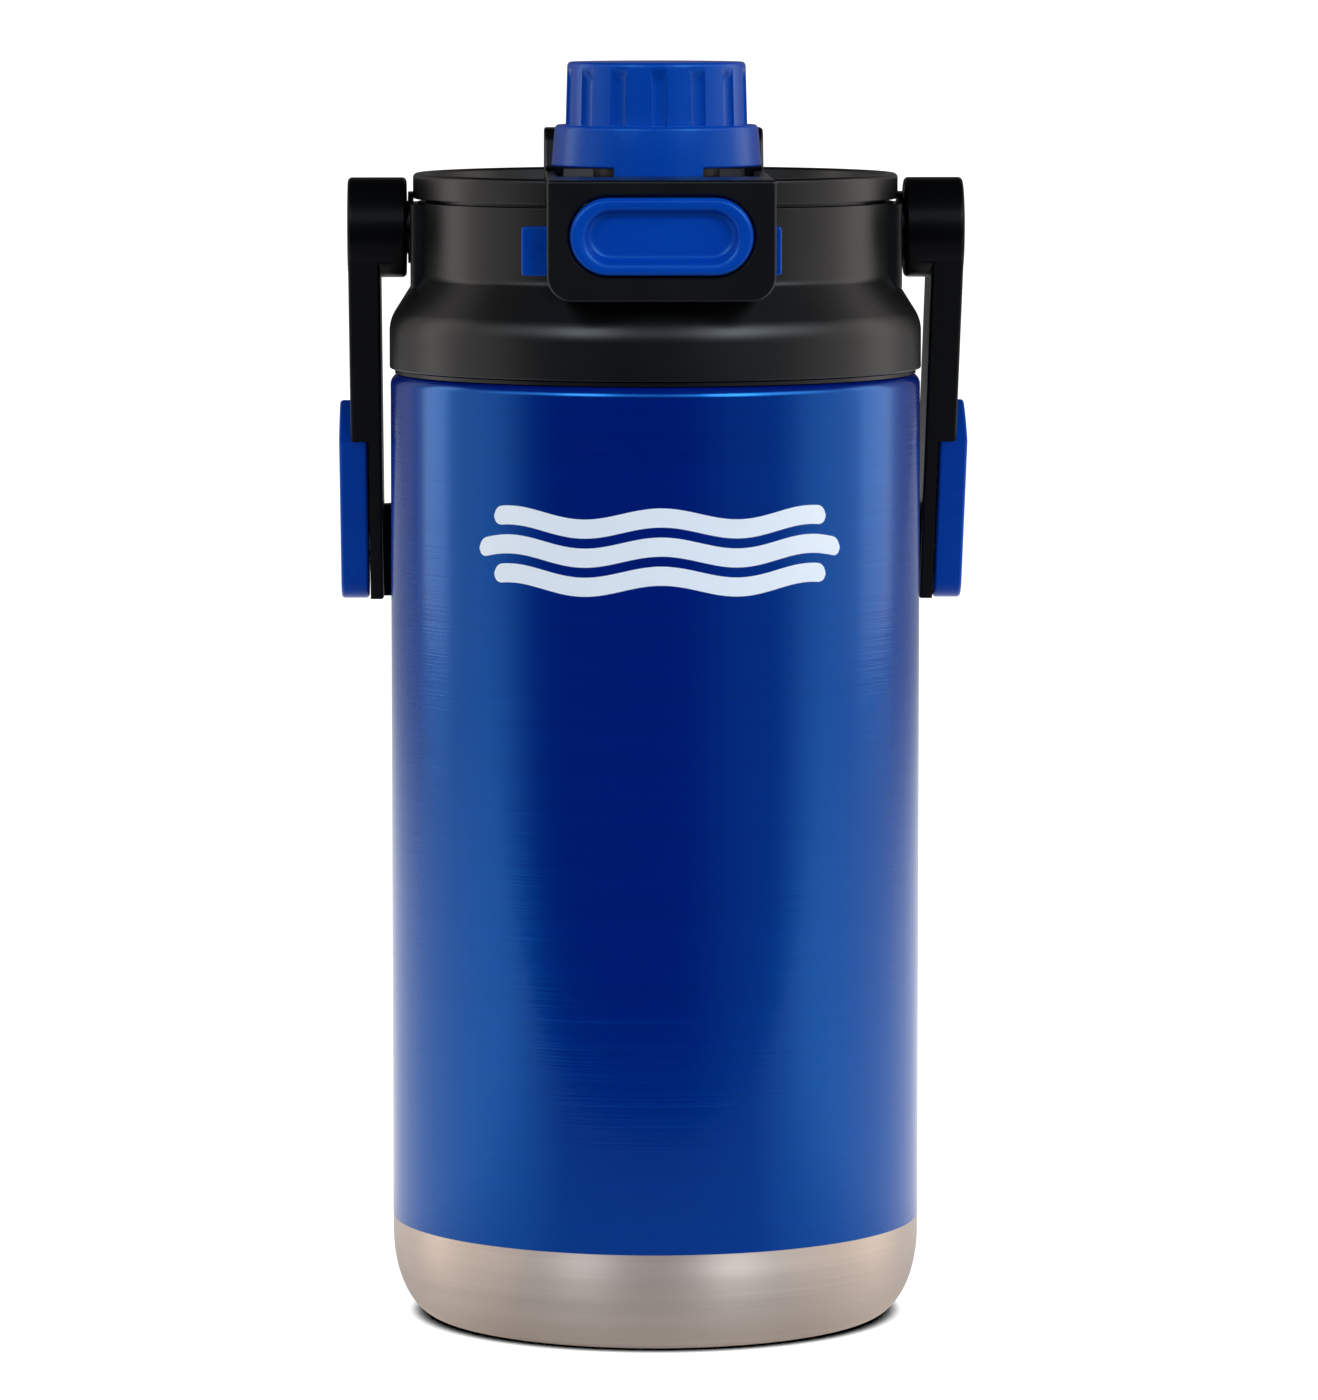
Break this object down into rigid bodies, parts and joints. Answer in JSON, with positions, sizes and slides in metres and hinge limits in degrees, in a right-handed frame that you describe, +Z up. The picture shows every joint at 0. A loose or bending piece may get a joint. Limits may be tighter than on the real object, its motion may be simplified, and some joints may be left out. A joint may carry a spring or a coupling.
{
  "type": "insulated water jug",
  "caption": "Insulated steel water jug with a screw lid, hinged flip cap, push-button latch, lock slider and swinging bail handle with fence hooks",
  "frame": {"origin": "on the jug's axis at the height of the surface it stands on, in the middle of the base's underside", "axes": "+Z up along the jug's axis, -Y towards the front with the push button, +X to the right as seen from the front"},
  "size_m": [0.1442, 0.1331, 0.2852],
  "materials": {
    "blue_paint": "glossy translucent blue lacquer over brushed steel, with a small white printed wave mark",
    "brushed_steel": "satin, brushed round the axis",
    "black_plastic": "fine satin mould texture",
    "blue_plastic": "satin, smooth",
    "clear_seal": "translucent silicone",
    "white_foam": "foamed plastic",
    "spring_steel": "bright drawn steel"
  },
  "bodies": {
    "bottle": {"outer_shell": "blue_paint", "neck_ring": "brushed_steel", "base_cup": "brushed_steel", "inner_liner": "brushed_steel", "vacuum_seal": "spring_steel"},
    "lid_seal": {"lid_gasket": "clear_seal"},
    "lid": {"lid_collar": "black_plastic", "lid_top": "black_plastic", "lid_liner": "black_plastic", "lid_insulation": "white_foam", "liner_screw_1": "spring_steel", "liner_screw_2": "spring_steel", "liner_screw_3": "spring_steel", "liner_screw_4": "spring_steel", "spout": "black_plastic", "spout_ring": "clear_seal", "latch_bridge": "black_plastic", "hinge_pin": "spring_steel", "cap_spring": "spring_steel", "button_spring": "spring_steel", "pivot_washer_left": "spring_steel", "pivot_washer_right": "spring_steel", "pivot_screw_left": "spring_steel", "pivot_screw_right": "spring_steel"},
    "cap": {"flip_cap": "blue_plastic", "cap_seal": "clear_seal"},
    "button": {"push_button": "blue_plastic"},
    "lock": {"lock_slider": "blue_plastic"},
    "handle": {"handle": "black_plastic", "pivot_cover_left": "black_plastic", "pivot_cover_right": "black_plastic", "hook_pin_left": "spring_steel", "hook_pin_right": "spring_steel"},
    "hook_left": {"hook_left": "blue_plastic"},
    "hook_right": {"hook_right": "blue_plastic"}
  },
  "joints": [
    {"name": "lid_rise", "type": "slide", "parent": "bottle", "child": "lid_seal", "axis": [0, 0, 1], "range_m": [0, 0.024]},
    {"name": "lid_turn", "type": "hinge", "parent": "lid_seal", "child": "lid", "pos_m": [0, 0, 0.216], "axis": [0, 0, 1], "range_deg": [0, 720]},
    {"name": "cap_hinge", "type": "hinge", "parent": "lid", "child": "cap", "pos_m": [0, 0.022, 0.265], "axis": [-1, 0, 0], "range_deg": [0, 120]},
    {"name": "button_press", "type": "slide", "parent": "lid", "child": "button", "axis": [0, 1, 0], "range_m": [0, 0.003], "stiffness_N_per_m": 600, "springref_m": -0.001, "deforming": ["button_spring"]},
    {"name": "lock_slide", "type": "slide", "parent": "lid", "child": "lock", "axis": [1, 0, 0], "range_m": [0, 0.0041]},
    {"name": "handle_swing", "type": "hinge", "parent": "lid", "child": "handle", "pos_m": [0, 0, 0.2477], "axis": [1, 0, 0], "range_deg": [0, 275]},
    {"name": "hook_left_swing", "type": "hinge", "parent": "handle", "child": "hook_left", "pos_m": [0, 0.04458, 0.16846], "axis": [1, 0, 0], "range_deg": [0, 80]},
    {"name": "hook_right_swing", "type": "hinge", "parent": "handle", "child": "hook_right", "pos_m": [0, 0.04458, 0.16846], "axis": [1, 0, 0], "range_deg": [0, 80]}
  ],
  "couplings": [
    {"joint": "lid_rise", "follows": "lid_turn", "m_per_rad": 0.0019099}
  ]
}
